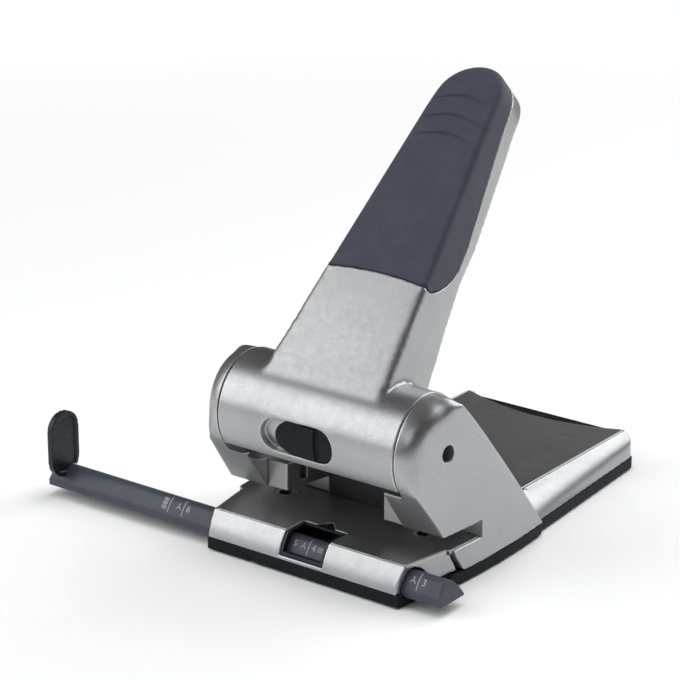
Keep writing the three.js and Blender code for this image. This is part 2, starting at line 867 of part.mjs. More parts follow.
function punchPin() {
  const stem = turned([
    [0, pinTip],
    [pinRadius, pinTip],
    [pinRadius, pinTop - pinHeadHeight],
    [pinHeadRadius, pinTop - pinHeadHeight],
    [pinHeadRadius, pinTop],
    [0, pinTop],
  ], pinX, pinY);
  const notch = [
    [pinY - pinRadius - seat, pinTip - seat],
    [pinY + pinRadius + seat, pinTip - seat],
    [pinY, pinTip + pinNotch],
  ];
  return stem.subtract(alongX(notch, pinX - pinHeadRadius, pinX + pinHeadRadius));
}

function die() {
  const bottom = deckHeight - dieHeight;
  const collar = dieRadius + dieCollar;
  return turned([
    [0, bottom],
    [collar, bottom],
    [collar, plateBottom - seat],
    [dieRadius, plateBottom - seat],
    [dieRadius, deckHeight],
    [0, deckHeight],
  ], pinX, pinY).subtract(rodZ(pinRadius + seat, pinX, pinY, bottom - overrun, deckHeight + overrun));
}

// Points along the middle of a return spring's wire
function springCoil() {
  const radius = pinRadius + seat + 2 * springWire + slip - springWire;
  const bottom = guideTop + seat + springWire;
  const top = pinTop - pinHeadHeight - seat - springWire;
  const steps = springTurns * springSteps;
  const points = [];
  for (let i = 0; i <= steps; i += 1) {
    const angle = (2 * Math.PI * i) / springSteps;
    const height = bottom + ((top - bottom) * i) / steps;
    points.push([pinX + radius * Math.cos(angle), pinY + radius * Math.sin(angle), height]);
  }
  return points;
}

// One unbroken wire: rings of points square to the way it runs
function springBody(points) {
  const rings = points.map((point, i) => {
    const before = new THREE.Vector3(...points[Math.max(i - 1, 0)]);
    const after = new THREE.Vector3(...points[Math.min(i + 1, points.length - 1)]);
    const way = after.sub(before).normalize();
    const outward = new THREE.Vector3(point[0] - pinX, point[1] - pinY, 0).normalize();
    const up = new THREE.Vector3().crossVectors(way, outward).normalize();
    const side = new THREE.Vector3().crossVectors(up, way);
    const ring = [];
    for (let k = 0; k < springSides; k += 1) {
      const angle = (2 * Math.PI * k) / springSides;
      const spot = new THREE.Vector3(...point)
        .addScaledVector(side, springWire * Math.cos(angle))
        .addScaledVector(up, springWire * Math.sin(angle));
      ring.push(spot.toArray());
    }
    return ring;
  });
  return lofted(rings);
}

// Least gap between turns of the wire that are half a turn or more apart
function leastGap(points) {
  let least = Infinity;
  points.forEach((a, i) => {
    points.slice(i + springSteps / 2).forEach((b) => {
      least = Math.min(least, Math.hypot(a[0] - b[0], a[1] - b[1], a[2] - b[2]) - 2 * springWire);
    });
  });
  return least;
}

// Cam plate that hangs from the barrel and pushes one pin down
function cam() {
  const from = pinX - camThickness / 2;
  const to = pinX + camThickness / 2;
  const skin = barrelBore - seat;
  const web = [
    [camHub / 2, camBottom],
    [noseY, camBottom],
    ...arc(0, axisHeight, skin, camWebFrom, camWebTo, bendSteps),
    [0, axisHeight],
  ];
  return alongX(web, from, to)
    .add(rodX(camHub, from, to))
    .add(alongX(circle(noseY, noseZ, camNose), from, to))
    .subtract(rodX(shaftRadius + seat, from - overrun, to + overrun));
}

function armHalfAt(s) {
  return armRootHalf - armTaper * s;
}

// Plan outline of the arm at one height, with a fillet where it grows out of the barrel
function armRing(height, inset, fillet) {
  const reach = Math.sqrt((barrelRadius - slip) ** 2 - height ** 2);
  const root = armHalfAt(reach) - inset;
  const lean = (Math.atan(armTaper) * 180) / Math.PI;
  const cosine = Math.cos(radians(lean));
  const tipRadius = (armHalfAt(armLength) * cosine) / (1 - armTaper * cosine);
  const right = [
    [root + fillet, reach - barrelWall / 2],
    ...arc(root + fillet, reach + fillet, fillet, 270, 180, edgeSteps),
  ];
  const tip = arc(0, armLength - tipRadius, tipRadius - inset, lean, 180 - lean, tipSteps);
  return [...right, ...tip, ...right.map(([x, s]) => [-x, s]).reverse()].map(([x, s]) => [x, s, height]);
}

// Arm with rounded upper edges, drawn in by a wall, in the lever's own frame
function armBlank(inset) {
  const top = armTop - inset;
  const rings = armLevelShares.map((share) => armRing(share * top, inset, armFillet));
  for (let i = 0; i <= edgeSteps; i += 1) {
    const angle = (Math.PI / 2) * (i / edgeSteps);
    const height = top - armEdge * (1 - Math.sin(angle));
    rings.push(armRing(height, inset + armEdge * (1 - Math.cos(angle)), armFillet));
  }
  return lofted(rings);
}

function armSideOutline() {
  const underside = armUndersideShares.map(([s, h]) => [s * armLength, h * armTop]);
  const beyond = armLength + overrun;
  return [
    [0, -armTop],
    ...underside,
    [beyond, underside[underside.length - 1][1]],
    [beyond, armTop + overrun],
    [0, armTop + overrun],
  ];
}

// Region of the arm that the grip pad wraps, drawn in by a clearance
function padRegion(inset) {
  const seam = padSeamShares.map(([s, h]) => [s * armLength + inset, h * armTop + inset]);
  const start = padStartShare * armLength + inset;
  const beyond = armLength + overrun;
  const last = seam[seam.length - 1];
  const side = [
    ...seam,
    [beyond, last[1] + ((beyond - last[0]) * last[1]) / armLength],
    [beyond, armTop + overrun],
    [start - overrun, armTop + overrun],
  ];
  const wide = armRootHalf + overrun;
  const top = [
    ...bow([-wide, start], [wide, start], padBow, 2 * bendSteps),
    [wide, beyond],
    [-wide, beyond],
  ];
  return alongX(side, -wide, wide).intersect(alongZ(top, -armTop, armTop + overrun));
}

function pocket(left, right, margin, depth) {
  const middle = axisHeight - pocketDrop;
  const half = pocketHeight / 2 + margin;
  const outline = roundedRectangle(left - margin, right + margin, middle - half, middle + half, half);
  return alongY(outline, throatFront, 0)
    .subtract(rodX(depth, left - overrun, right + overrun, barrelSteps));
}

// Barrel and arm in one casting, joined and hollowed in the lever's own frame
function leverShell() {
  const wide = armRootHalf + overrun;
  const barrelAt = (radius, half) => rodX(radius, -half, half, barrelSteps, 0);
  const underPad = armBlank(padThickness + seat);
  const side = alongX(armSideOutline(), -wide, wide);
  const ribTop = armTop - padThickness - seat;
  const hollow = ribStationShares.reduce((body, share) => {
    const s = share * armLength;
    return body.subtract(box(-wide, wide, s, s + ribThickness, ribTop - ribDepth, ribTop));
  }, armBlank(padThickness + seat + armWall).subtract(barrelAt(barrelRadius - barrelWall / 2, wide)));
  const sweep = arc(0, 0, 2 * barrelRadius, tailAngle - leverAngle, lipAngle - leverAngle, bendSteps);
  const drum = barrelAt(barrelRadius, barrelHalfLength)
    .intersect(alongX([[0, 0], ...sweep], -barrelHalfLength, barrelHalfLength));
  const backing = pocket(pocketLeft, pocketRight, pocketRim, barrelBore - pocketFloor)
    .intersect(rodX(barrelBore + slip, pocketLeft - overrun, pocketRight + overrun, barrelSteps));
  const opening = pocket(pocketLeft, pocketRight, 0, barrelRadius - pocketDepth);
  const shell = armBlank(0)
    .intersect(side)
    .subtract(padRegion(0).subtract(underPad))
    .subtract(hollow)
    .add(drum)
    .subtract(barrelAt(barrelBore, endWallInner))
    .add(inLeverFrame(backing))
    .subtract(inLeverFrame(opening));
  const relieved = [-1, 1].reduce((body, end) => {
    const ends = [end * (pinX - guideRadius - 2 * slip), end * endWallInner].sort((a, b) => a - b);
    const relief = box(ends[0], ends[1], barrelRadius / 2, barrelRadius + overrun,
      axisHeight - barrelRadius, axisHeight + tailRelief);
    const inner = Math.min(end * endWallInner, end * barrelHalfLength);
    return body.subtract(inLeverFrame(relief)).add(rodX(hubRadius, inner, inner + barrelWall, holeSteps, 0));
  }, shell);
  return atLeverAngle(relieved.subtract(rodX(shaftRadius + seat, -cheekInner, cheekInner, holeSteps, 0)));
}

// Grip pad with crescent grooves across its top
function gripPad() {
  const wide = armRootHalf + overrun;
  let pad = armBlank(0).subtract(armBlank(padThickness)).intersect(padRegion(seat));
  grooveStationShares.forEach((share) => {
    const s = share * armLength;
    const half = armHalfAt(s) * grooveWidthShare;
    const outer = bow([-half, s], [half, s], grooveBow, 2 * bendSteps);
    const inner = bow([half, s], [-half, s], grooveWidth - grooveBow, 2 * bendSteps).slice(1, -1);
    pad = pad.subtract(alongZ([...inner, ...outer].reverse(), armTop - grooveDepth, armTop + overrun));
  });
  return atLeverAngle(pad.intersect(alongX(armSideOutline(), -wide, wide)));
}

function lockSlider() {
  const right = pocketRight - seat;
  const left = right - sliderLength;
  const outer = barrelRadius - sliderSink;
  const ridgeRight = right - ridgeOffset;
  const ridge = pocket(left, right, -2 * seat, barrelRadius - pocketDepth + seat)
    .intersect(rodX(outer + ridgeRise, ridgeRight - ridgeWidth, ridgeRight, barrelSteps));
  return pocket(left, right, -seat, barrelRadius - pocketDepth + seat)
    .intersect(rodX(outer, left - seat, right + seat, barrelSteps))
    .add(ridge);
}

function bush() {
  const from = cheekInner + seat;
  return rodX(bushRadius, from, from + bushLength)
    .subtract(rodX(shaftRadius + seat, cheekInner - overrun, cheekCrownX));
}

// Rail with slanted ends
function guideRail() {
  const section = railSection(0);
  const ends = [[railLeft, railSlant], [railRight, -railSlant]];
  return lofted(ends.map(([x, slant]) =>
    section.map(([y, z]) => [x + (slant * (z - railBottom)) / railHeight, y, z])));
}

// Flag with a raised rim and a dished face, notched to sit astride the rail
function stopFlag() {
  const front = railFront - flagLead;
  const outline = roundedRectangle(front, front + flagWidth, flagBase, flagBase + flagHeight, flagCorner);
  const face = -guideSetting;
  return alongX(outline, face - flagThickness, face)
    .subtract(alongX(drawnIn(outline, flagRim), face - flagDish, face + overrun))
    .subtract(alongX(railSection(-seat), face - 2 * flagThickness, face + overrun));
}

function indexFrame() {
  const sill = sillHeight + windowSill + seat;
  const half = windowHalf - seat - frameWall;
  const front = apronFootY - overrun;
  return frontBody(seat)
    .subtract(frontBody(seat + frameDepth))
    .intersect(alongZ(windowPlan(seat), sill, deckHeight))
    .subtract(box(-half, half, front, windowRear - seat - frameWall, sill + frameWall, deckHeight));
}

function paperStop() {
  const bottom = deckHeight + seat;
  const section = [
    [throatDepth, bottom],
    [throatDepth + stopFlange, bottom],
    [throatDepth + stopFlange, bottom + stopThickness],
    [throatDepth + stopThickness, bottom + stopThickness],
    [throatDepth + stopThickness, bottom + stopHeight],
    [throatDepth, bottom + stopHeight],
  ];
  const half = blockInner - blockSplay - seat;
  return alongX(section, -half, half);
}

function backCover() {
  const front = blockRear + seat;
  const section = [
    [front, deckHeight + seat],
    [front + coverThickness, deckHeight + seat],
    [front + coverThickness, blockTop],
    [front + coverThickness - coverLean, coverTop],
    [front - coverLean, coverTop],
    [front, blockTop],
  ];
  return alongX(section, seat - cheekInner, cheekInner - seat);
}

function chipDrawer() {
  const bottom = floorTop + slip;
  const rear = rearY - slip;
  const inner = drawerHalfWidth - drawerWall;
  const mouthEnd = pinY + holeMargin;
  const wide = recessHalfWidth;
  const top = bottom + drawerHandle;
  const back = box(-wide, wide, rear - drawerWall, rear, trayTop + seat, top);
  const handle = box(-wide, wide, hipY, rear, top - handleThickness, top);
  return box(-drawerHalfWidth, drawerHalfWidth, drawerFront, rear, bottom, bottom + drawerSide)
    .subtract(box(-inner, inner, drawerFront + drawerWall, rear - drawerWall, bottom + drawerWall, deckHeight))
    .subtract(box(-wide, wide, drawerFront + drawerWall, mouthEnd, bottom + mouthHeight, deckHeight))
    .add(alongZ(recessPlan(-slip), trayTop, deckHeight).intersect(back.add(handle)));
}

// Chute that leads the chips from a die into the drawer
function chipChute() {
  const near = drawerHalfWidth + slip;
  const far = spineHalfWidth - shellWall - slip;
  const bottom = floorTop + seat;
  const section = [
    [near, bottom],
    [far, bottom],
    [far, bottom + chuteHeight],
    [near, bottom + chuteLip],
  ];
  return alongY(section, screwFrontY + postRadius + 2 * slip, pinY + holeMargin);
}

// Leaf spring that presses on the rail's back
function railBrake() {
  const rear = railFront + railDepth + brakeBow + brakeThickness + seat;
  const outer = bow([-brakeHalf, rear], [brakeHalf, rear], -brakeBow, 2 * bendSteps);
  const inner = bow([brakeHalf, rear - brakeThickness], [-brakeHalf, rear - brakeThickness],
    brakeBow, 2 * bendSteps);
  const bottom = railBottom + seat;
  return alongZ([...inner, ...outer].reverse(), bottom, bottom + brakeHeight - slip);
}

function baseScrew(x, y) {
  const bottom = standHeight + seat;
  const head = bottom + screwHeadHeight;
  return turned([
    [0, bottom],
    [screwHead, bottom],
    [screwHead, head],
    [screwRadius, head],
    [screwRadius, head + screwLength],
    [0, head + screwLength],
  ], x, y).subtract(box(x - screwHead - seat, x + screwHead + seat, y - screwSlot / 2, y + screwSlot / 2,
    bottom - seat, bottom + screwHeadHeight / 2));
}

const coil = springCoil();
console.log(`least gap between the return springs' turns: ${leastGap(coil).toFixed(2)} mm`);

place('base_shell', baseShell(), 'silver');
place('deck_plate', deckPlate(), 'graphite');
place('base_tray', baseTray(), 'black');
placePair('cheek', cheek(), 'silver');
placePair('guide_block', guideBlock(), 'casting');
placePair('punch_pin', punchPin(), 'steel');
placePair('return_spring', springBody(coil), 'steel');
placePair('pressure_cam', cam(), 'steel');
placePair('die', die(), 'steel');
placePair('bearing_bush', bush(), 'black');
placePair('chip_chute', chipChute(), 'black');
place('pivot_shaft', rodX(shaftRadius, -shaftHalfLength, shaftHalfLength), 'steel');
place('lever_shell', leverShell(), 'silver');
place('grip_pad', gripPad(), 'slate');
place('lock_slider', lockSlider(), 'black');
place('guide_rail', guideRail(), 'slate');
place('stop_flag', stopFlag(), 'gloss');
place('index_frame', indexFrame(), 'gloss');
place('rail_brake', railBrake(), 'steel');
place('paper_stop', paperStop(), 'graphite');
place('back_cover', backCover(), 'black');
place('chip_drawer', chipDrawer(), 'black');
place('grip_strip_front', alongZ(stripPlan(0, 0), 0, stripThickness), 'rubber');
place('grip_strip_rear', alongZ(stripPlan(rearStripY, 0), 0, stripThickness), 'rubber');
[['front', screwFrontX, screwFrontY], ['rear', screwRearX, screwRearY]].forEach(([row, x, y]) => {
  place(`base_screw_${row}_right`, baseScrew(x, y), 'steel');
  place(`base_screw_${row}_left`, baseScrew(-x, y), 'steel');
});

export default punch;
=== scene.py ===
# Looks of the two-hole punch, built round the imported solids. Metres.
import json
import math

import bmesh
import bpy
import numpy as np
from mathutils import Matrix, Vector
from mathutils.bvhtree import BVHTree

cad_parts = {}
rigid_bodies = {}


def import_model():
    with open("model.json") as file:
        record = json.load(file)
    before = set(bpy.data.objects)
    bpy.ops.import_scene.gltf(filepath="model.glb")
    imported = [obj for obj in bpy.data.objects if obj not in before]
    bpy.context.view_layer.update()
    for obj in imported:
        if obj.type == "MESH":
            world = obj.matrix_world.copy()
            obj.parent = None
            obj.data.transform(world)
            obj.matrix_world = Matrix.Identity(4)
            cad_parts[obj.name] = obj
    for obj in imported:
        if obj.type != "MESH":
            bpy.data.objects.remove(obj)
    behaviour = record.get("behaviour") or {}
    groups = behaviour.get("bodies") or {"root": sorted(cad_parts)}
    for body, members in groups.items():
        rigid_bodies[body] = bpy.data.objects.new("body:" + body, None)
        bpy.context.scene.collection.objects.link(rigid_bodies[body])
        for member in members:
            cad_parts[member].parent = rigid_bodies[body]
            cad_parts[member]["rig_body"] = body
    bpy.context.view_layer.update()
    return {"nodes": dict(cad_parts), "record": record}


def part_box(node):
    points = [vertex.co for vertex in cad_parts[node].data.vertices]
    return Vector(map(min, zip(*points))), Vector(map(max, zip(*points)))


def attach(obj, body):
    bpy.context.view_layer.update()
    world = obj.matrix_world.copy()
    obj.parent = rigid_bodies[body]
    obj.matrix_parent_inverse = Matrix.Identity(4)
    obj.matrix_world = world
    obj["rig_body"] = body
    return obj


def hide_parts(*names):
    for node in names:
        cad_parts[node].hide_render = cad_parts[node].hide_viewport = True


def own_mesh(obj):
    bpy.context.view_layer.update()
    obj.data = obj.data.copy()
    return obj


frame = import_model()
nodes = frame["nodes"]
MM = 0.001
TINY = 0.001 * MM

# Smoothing of the even meshes: a shrinking and a swelling step each round, then a pull on what isn't sharp
SHRINK = 0.5
SWELL = -0.53
SOFTEN = 0.8
NORMAL_ROUNDS = 6
KEEP_ROUNDS = 3
SHARP_BELOW = 0.96
EDGE_ROUNDS = 5
EDGE_RADIUS = 1.0 * MM

# Return springs
WIRE_ROUNDING = 2

# Camera: azimuth and elevation in degrees, focal length in picture widths, distance and offsets in metres
AZIMUTH = 36.931852
ELEVATION = 19.726745
FOCAL = 2600 / 680
DISTANCE = 1.20598881
OFFSET_X = -0.0013586372
OFFSET_Y = -0.1014141718
SENSOR = 36.0
VIEW_END = 20

# Lights, as name, place, size, radiance and whether they show in reflections
LIGHT_TARGET = (0, 0.02, 0.06)
LIGHTS = [
    ("key", (-0.96, -0.93, 0.86), (1.4, 1.4), 2.3, True),
    ("rim", (0.45, 1.1, 0.8), (1.4, 1.0), 2.6, True),
    ("front", (0.45, -1.1, 0.9), (0.8, 0.6), 1.4, True),
    ("overhead", (0.1, 0.1, 1.8), (1.5, 1.5), 3.1, False),
]

# Sky: the direction of its bright side, where its glow begins and ends, and its strength there
SKY_BRIGHT = (-0.5, -0.35, 0.79)
GLOW_SPAN = (0.1, 0.95)
GLOW_STRENGTH = (0.36, 0.8)

# Floor: it turns into an even backdrop between these distances from the object
FLOOR_HALF = 6
FLOOR_GRAIN = 0.02
FLOOR_ROUGHNESS = 0.9
FLOOR_TONES = ((0.93, 0.93, 0.93), (0.95, 0.95, 0.95))
FLOOR_NEAR = 0.3
FLOOR_FAR = 1.0

# Grain, contrast and relief of the finishes
NOISE_SPAN = (0.3, 0.7)
FLAKE_GRAIN = 0.22 * MM
FLAKE_SHARE = 0.5
SPECKLE_GRAIN = 0.7 * MM
CLOUD_GRAIN = 40 * MM
CLOUD_SHARE = 0.35
CLOUD_SPAN = (0.4, 0.7)
CLOUD_SHADE = 0.88
# Where the lighter paint edge sets in: partly wear, partly a painted highlight
PAINT_EDGE = (0.3, 1.3)
PAINT_COAT_ROUGHNESS = 0.25
PAINT_SHINE = (3 * MM, 4, -0.04, 0.05)
PAINT_RELIEF = (0.8 * MM, 3, 0.2, 0.05 * MM)
MOULD_GRAIN = 8 * MM
MOULD_DETAIL = 3
MOULD_SHINE = (1.5 * MM, 3, -0.05, 0.07)
MOULD_RELIEF = 0.06 * MM
# Plastic edges are lightened by this gain and lift: partly wear, partly a painted highlight
MOULD_EDGE = (0.4, 1.4)
MOULD_EDGE_GAIN = 1.3
MOULD_EDGE_LIFT = 0.005
SHEEN_ROUGHNESS = 0.5
# Where a given edge colour sets in; on the grip that colour is a painted shade
SOFT_EDGE = (0.2, 0.8)
STEEL_GRAIN = 0.25 * MM
STEEL_DETAIL = 4
STEEL_SHADE = 0.8
STEEL_SHINE = (-0.06, 0.1)
STEEL_RELIEF = (0.12, 0.03 * MM)


def make_camera():
    a = math.radians(AZIMUTH)
    e = math.radians(ELEVATION)
    right = Vector((math.cos(a), math.sin(a), 0))
    back = Vector((math.sin(a) * math.cos(e), -math.cos(a) * math.cos(e), math.sin(e)))
    up = back.cross(right)
    data = bpy.data.cameras.new("camera")
    data.sensor_width = SENSOR
    data.lens = FOCAL * SENSOR
    data.clip_end = VIEW_END
    camera = bpy.data.objects.new("camera", data)
    bpy.context.scene.collection.objects.link(camera)
    place = back * DISTANCE - right * OFFSET_X - up * OFFSET_Y
    turn = Matrix((right, up, back)).transposed()
    camera.matrix_world = Matrix.Translation(place) @ turn.to_4x4()
    bpy.context.scene.camera = camera


def area_light(name, place, size, radiance, glossy):
    """A soft box that faces the object; its radiance is 1 where it shows as white."""
    data = bpy.data.lights.new(name, "AREA")
    data.shape = "RECTANGLE"
    data.size, data.size_y = size
    data.energy = radiance * math.pi * size[0] * size[1]
    light = bpy.data.objects.new(name, data)
    bpy.context.scene.collection.objects.link(light)
    direction = Vector(place) - Vector(LIGHT_TARGET)
    turn = direction.to_track_quat("Z", "Y").to_matrix().to_4x4()
    light.matrix_world = Matrix.Translation(Vector(place)) @ turn
    light.visible_glossy = glossy


class Shader:
    """A Principled material under construction, with helpers for its procedural parts."""

    def __init__(self, name, metallic=0.0, roughness=0.5, **values):
        self.material = bpy.data.materials.new(name)
        self.material.use_nodes = True
        self.tree = self.material.node_tree
        self.tree.nodes.clear()
        self.out = self.add("ShaderNodeOutputMaterial")
        self.bsdf = self.add("ShaderNodeBsdfPrincipled")
        self.link(self.bsdf.outputs["BSDF"], self.out.inputs["Surface"])
        self.bsdf.inputs["Metallic"].default_value = metallic
        self.bsdf.inputs["Roughness"].default_value = roughness
        for key, value in values.items():
            self.bsdf.inputs[key.replace("_", " ")].default_value = value
        self.coords = self.add("ShaderNodeTexCoord").outputs["Object"]

    def add(self, kind, **settings):
        node = self.tree.nodes.new(kind)
        for key, value in settings.items():
            setattr(node, key, value)
        return node

    def link(self, a, b):
        self.tree.links.new(a, b)

    def scaled(self, scale):
        mapping = self.add("ShaderNodeMapping")
        mapping.inputs["Scale"].default_value = scale
        self.link(self.coords, mapping.inputs["Vector"])
        return mapping.outputs["Vector"]

    def noise(self, grain, detail=2.0, stretch=(1, 1, 1)):
        """Noise whose features are about grain metres across."""
        node = self.add("ShaderNodeTexNoise")
        node.inputs["Scale"].default_value = 1.0
        node.inputs["Detail"].default_value = detail
        self.link(self.scaled([s / grain for s in stretch]), node.inputs["Vector"])
        return node.outputs["Fac"]

    def cells(self, grain):
        node = self.add("ShaderNodeTexVoronoi", feature="F1")
        node.inputs["Scale"].default_value = 1.0
        self.link(self.scaled([1 / grain] * 3), node.inputs["Vector"])
        return node

    def ranged(self, value, low, high, start=0.0, end=1.0):
        node = self.add("ShaderNodeMapRange")
        node.inputs["From Min"].default_value = start
        node.inputs["From Max"].default_value = end
        node.inputs["To Min"].default_value = low
        node.inputs["To Max"].default_value = high
        self.link(value, node.inputs["Value"])
        return node.outputs["Result"]

    def mix(self, factor, a, b):
        node = self.add("ShaderNodeMix", data_type="RGBA")
        for socket, value in ((node.inputs[0], factor), (node.inputs[6], a), (node.inputs[7], b)):
            if isinstance(value, bpy.types.NodeSocket):
                self.link(value, socket)
            elif isinstance(value, (int, float)):
                socket.default_value = value
            else:
                socket.default_value = (*value, 1)
        return node.outputs[2]

    def color(self, value):
        self.link(value, self.bsdf.inputs["Base Color"])

    def roughness(self, value):
        self.link(value, self.bsdf.inputs["Roughness"])

    def bump(self, height, strength, distance):
        """Relief of a height from 0 to 1 over a distance in metres."""
        node = self.add("ShaderNodeBump")
        node.inputs["Strength"].default_value = strength
        node.inputs["Distance"].default_value = distance
        self.link(height, node.inputs["Height"])
        self.link(node.outputs["Normal"], self.bsdf.inputs["Normal"])

    def shine(self, roughness, grain, detail, lower, upper):
        """Roughness that wanders between two offsets from its mean."""
        wander = self.noise(grain, detail)
        self.roughness(self.ranged(wander, roughness + lower, roughness + upper, *NOISE_SPAN))

    def edges(self, start, end):
        """1 on outer edges, 0 on flats."""
        bulge = self.add("ShaderNodeAttribute")
        bulge.attribute_name = "bulge"
        return self.ranged(bulge.outputs["Fac"], 0, 1, start, end)


def metallic_paint(name, dark, light, metallic, roughness, edge, coat):
    s = Shader(name, metallic=metallic, Coat_Weight=coat, Coat_Roughness=PAINT_COAT_ROUGHNESS)
    flakes = s.cells(FLAKE_GRAIN)
    speckle = s.ranged(s.noise(SPECKLE_GRAIN), 0, 1, *NOISE_SPAN)
    tone = s.mix(FLAKE_SHARE, s.ranged(flakes.outputs["Color"], 0, 1), speckle)
    base = s.mix(tone, dark, light)
    cloud = s.ranged(s.noise(CLOUD_GRAIN), 0, CLOUD_SHARE, *CLOUD_SPAN)
    base = s.mix(cloud, base, [c * CLOUD_SHADE for c in dark])
    # Outer edges take the lighter edge colour, partly wear and partly a painted highlight
    s.color(s.mix(s.edges(*PAINT_EDGE), base, edge))
    s.shine(roughness, *PAINT_SHINE)
    grain, detail, strength, depth = PAINT_RELIEF
    s.bump(s.noise(grain, detail), strength, depth)
    return s.material


def moulded(name, dark, light, roughness, grain, relief, specular=0.5, sheen=0.0, edge=None):
    s = Shader(name, roughness=roughness, Sheen_Weight=sheen, Sheen_Roughness=SHEEN_ROUGHNESS)
    s.bsdf.inputs["Specular IOR Level"].default_value = specular
    base = s.mix(s.ranged(s.noise(MOULD_GRAIN, MOULD_DETAIL), 0, 1, *NOISE_SPAN), dark, light)
    # Outer edges get the given edge colour, a painted shade on the grip; without one they get lighter, partly
    # wear and partly a painted highlight
    edge_wear_and_painted_light = edge or [c * MOULD_EDGE_GAIN + MOULD_EDGE_LIFT for c in light]
    s.color(s.mix(s.edges(*(SOFT_EDGE if edge else MOULD_EDGE)), base, edge_wear_and_painted_light))
    s.shine(roughness, *MOULD_SHINE)
    s.bump(s.noise(grain), relief, MOULD_RELIEF)
    return s.material


def steel(name, color, roughness, stretch):
    s = Shader(name, metallic=1.0)
    lines = s.noise(STEEL_GRAIN, STEEL_DETAIL, stretch)
    s.color(s.mix(lines, [c * STEEL_SHADE for c in color], color))
    lower, upper = STEEL_SHINE
    s.roughness(s.ranged(lines, roughness + lower, roughness + upper, *NOISE_SPAN))
    s.bump(lines, *STEEL_RELIEF)
    return s.material


# Paints, as name, darkest and lightest tone, metallic share, roughness, edge colour and coat; the lighter edge
# colour is partly wear and partly a painted highlight
PAINTS = [
    ("silver_paint", (0.36, 0.362, 0.372), (0.505, 0.507, 0.517), 0.88, 0.35, (0.72, 0.72, 0.73), 0.1),
    ("graphite_paint", (0.32, 0.32, 0.322), (0.45, 0.45, 0.453), 0.85, 0.4, (0.6, 0.6, 0.61), 0.1),
    ("zinc_casting", (0.32, 0.32, 0.32), (0.4, 0.4, 0.4), 0.85, 0.42, (0.6, 0.6, 0.6), 0.0),
    # The graphite paint made near black, as painted shade on the paper stop
    ("graphite_inner", (0.03, 0.03, 0.032), (0.045, 0.045, 0.048), 0.5, 0.5, (0.2, 0.2, 0.2), 0.0),
]

# Plastics, as name, darkest and lightest tone, roughness, grain in mm, relief, then specular level, sheen,
# edge; the grip's dark edge colour is a painted shade on its crease and groove lips
PLASTICS = [
    ("black_plastic", (0.008, 0.009, 0.012), (0.013, 0.014, 0.018), 0.5, 0.5, 0.12, 0.12),
    ("slate_plastic", (0.043, 0.050, 0.066), (0.056, 0.064, 0.084), 0.42, 0.4, 0.1, 0.4),
    # The grip's dark edge colour is painted shade on the crease between top and sides and on the groove lips
    ("soft_grip", (0.036, 0.042, 0.061), (0.047, 0.054, 0.078), 0.62, 0.3, 0.35, 0.35, 0.12,
     (0.018, 0.02, 0.026)),
    ("gloss_plastic", (0.008, 0.011, 0.018), (0.012, 0.016, 0.026), 0.28, 0.8, 0.015, 0.3),
    ("anti_slip", (0.012, 0.012, 0.012), (0.02, 0.02, 0.02), 0.8, 0.3, 0.3),
    ("mark_paint", (0.36, 0.38, 0.41), (0.44, 0.46, 0.49), 0.6, 0.3, 0.05),
]

# Steels, as name, colour, roughness and how the machining lines run
STEELS = [
    # Steel made dark, as painted shade on the shaft end in its hole
    ("steel_blackened", (0.13, 0.13, 0.14), 0.35, (0.05, 1, 1)),
    ("steel", (0.56, 0.56, 0.57), 0.25, (1, 1, 0.05)),
    ("spring_wire", (0.42, 0.42, 0.43), 0.3, (1, 1, 1)),
]

MATERIALS = {}
for paint_name, *paint in PAINTS:
    MATERIALS[paint_name] = metallic_paint(paint_name, *paint)
for plastic_name, dark_tone, light_tone, rough, grain_mm, *plastic in PLASTICS:
    MATERIALS[plastic_name] = moulded(plastic_name, dark_tone, light_tone, rough, grain_mm * MM, *plastic)
for steel_name, *steel_rest in STEELS:
    MATERIALS[steel_name] = steel(steel_name, *steel_rest)

SLOT_OF = {row["node"]: row["material_slot"] for row in frame["record"]["subparts"]}
for node_name, node_object in nodes.items():
    node_object.data.materials.clear()
    node_object.data.materials.append(MATERIALS[SLOT_OF[node_name]])
# The pivot shaft's end is dark steel: painted shade for the hole it sits in
nodes["pivot_shaft"].data.materials[0] = MATERIALS["steel_blackened"]
# The paper stop gets the near-black graphite copy: painted shade, not a paint of its own
nodes["paper_stop"].data.materials[0] = MATERIALS["graphite_inner"]


def body_of(node):
    return nodes[node]["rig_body"]


def finished(piece, name, node, material=None):
    """Names, materials and rides a piece that stands for a node."""
    piece.name = name
    piece.data.name = name
    piece.data.materials.clear()
    piece.data.materials.append(material or MATERIALS[SLOT_OF[node]])
    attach(piece, body_of(node))
    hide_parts(node)
    return piece


def evaluated(piece):
    """The piece's mesh with its modifiers applied."""
    bpy.context.view_layer.update()
    graph = bpy.context.evaluated_depsgraph_get()
    mesh = bpy.data.meshes.new_from_object(piece.evaluated_get(graph))
    piece.modifiers.clear()
    piece.data = mesh
    return piece


def copy_of(node):
    piece = bpy.data.objects.new("piece", nodes[node].data.copy())
    bpy.context.scene.collection.objects.link(piece)
    return piece


